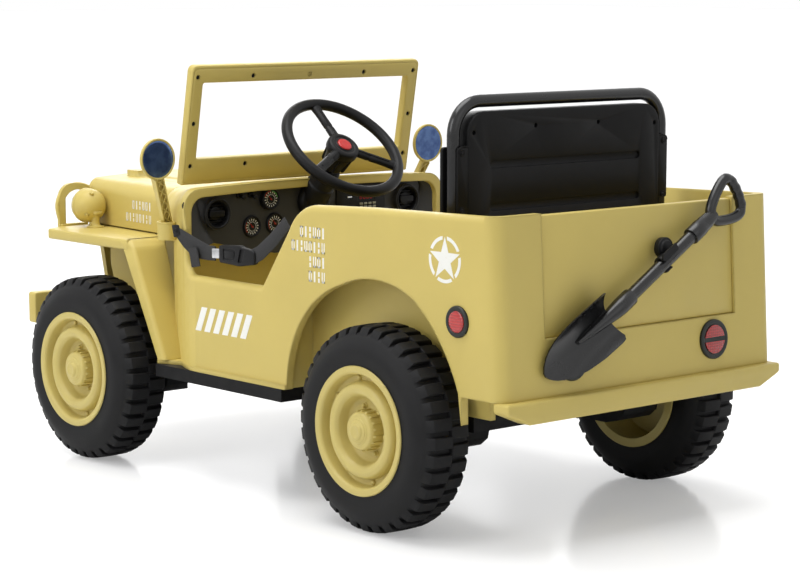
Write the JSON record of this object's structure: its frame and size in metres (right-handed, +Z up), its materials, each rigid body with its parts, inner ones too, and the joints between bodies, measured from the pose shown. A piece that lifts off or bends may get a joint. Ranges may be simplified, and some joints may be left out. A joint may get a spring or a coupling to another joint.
{
  "type": "children's ride-on army 4x4 car",
  "caption": "Children's electric ride-on army 4x4 in sand plastic: open tub, lugged tyres, upright windscreen frame, bench seat with hoop, clipped shovel and linked front steering.",
  "frame": {"origin": "on the floor, under the middle of the car's bounding box", "axes": "+X towards the front bumper, +Y to the car's left, +Z up"},
  "size_m": [1.2654, 0.702, 0.6877],
  "materials": {
    "body_plastic": "satin moulded plastic, sand colour",
    "black_plastic": "fine-grained black plastic",
    "black_tube": "satin black painted tube",
    "webbing": "woven black webbing",
    "tyre": "matt black moulded tyre",
    "lamp_red": "red lamp lens in a dark ring",
    "button_red": "red push button",
    "lamp_clear": "clear lens in a sand-coloured bowl",
    "steel": "black painted steel"
  },
  "bodies": {
    "car": {"body_tub": "body_plastic", "bonnet": "body_plastic", "grille_panel": "body_plastic", "fender_left": "body_plastic", "fender_right": "body_plastic", "front_bumper": "body_plastic", "rear_bumper": "body_plastic", "tailgate": "body_plastic", "windscreen_frame": "body_plastic", "dashboard": "black_plastic", "seat_base": "black_plastic", "seat_back": "black_plastic", "seat_hoop": "black_tube", "door_strap": "webbing", "door_strap_rear": "webbing", "strap_buckle": "black_plastic", "headlamp_left": "lamp_clear", "headlamp_right": "lamp_clear", "tail_lamp_left": "lamp_red", "tail_lamp_right": "lamp_red", "side_marker_left": "lamp_red", "side_marker_right": "lamp_red", "mirror_left": "body_plastic", "mirror_right": "body_plastic", "shovel": "black_plastic", "shovel_clip": "black_plastic", "chassis": "black_plastic", "battery": "black_plastic", "front_axle_beam": "steel", "rear_axle": "steel", "gear_housing_rear_left": "black_plastic", "gear_housing_rear_right": "black_plastic"},
    "steering": {"steering_wheel": "black_plastic", "horn_button": "button_red", "steering_shaft": "steel"},
    "left_knuckle": {"knuckle_left": "steel", "gear_housing_front_left": "black_plastic"},
    "right_knuckle": {"knuckle_right": "steel", "gear_housing_front_right": "black_plastic"},
    "link": {"tie_rod": "steel"},
    "front_left_wheel": {"tyre_front_left": "tyre", "wheel_front_left": "body_plastic"},
    "front_right_wheel": {"tyre_front_right": "tyre", "wheel_front_right": "body_plastic"},
    "rear_left_wheel": {"tyre_rear_left": "tyre", "wheel_rear_left": "body_plastic"},
    "rear_right_wheel": {"tyre_rear_right": "tyre", "wheel_rear_right": "body_plastic"}
  },
  "joints": [
    {"name": "steering_turn", "type": "hinge", "parent": "car", "child": "steering", "pos_m": [0.1057, 0, 0.5437], "axis": [-0.6665, 0, 0.7455], "range_deg": [-40, 40]},
    {"name": "left_kingpin", "type": "hinge", "parent": "car", "child": "left_knuckle", "pos_m": [0.4228, 0.232, 0.1586], "axis": [0, 0, 1], "range_deg": [-20, 20]},
    {"name": "right_kingpin", "type": "hinge", "parent": "car", "child": "right_knuckle", "pos_m": [0.4228, -0.232, 0.1586], "axis": [0, 0, 1], "range_deg": [-20, 20]},
    {"name": "link_pivot", "type": "hinge", "parent": "left_knuckle", "child": "link", "pos_m": [0.3628, 0.232, 0.2064], "axis": [0, 0, 1], "range_deg": [-20, 20]},
    {"name": "front_left_spin", "type": "hinge", "parent": "left_knuckle", "child": "front_left_wheel", "pos_m": [0.4228, 0.295, 0.1586], "axis": [0, 1, 0], "continuous": true},
    {"name": "front_right_spin", "type": "hinge", "parent": "right_knuckle", "child": "front_right_wheel", "pos_m": [0.4228, -0.295, 0.1586], "axis": [0, 1, 0], "continuous": true},
    {"name": "rear_left_spin", "type": "hinge", "parent": "car", "child": "rear_left_wheel", "pos_m": [-0.3388, 0.295, 0.1586], "axis": [0, 1, 0], "continuous": true},
    {"name": "rear_right_spin", "type": "hinge", "parent": "car", "child": "rear_right_wheel", "pos_m": [-0.3388, -0.295, 0.1586], "axis": [0, 1, 0], "continuous": true}
  ],
  "couplings": [
    {"joint": "left_kingpin", "follows": "steering_turn", "ratio": 0.5},
    {"joint": "right_kingpin", "follows": "steering_turn", "ratio": 0.5},
    {"joint": "link_pivot", "follows": "steering_turn", "ratio": -0.5}
  ]
}
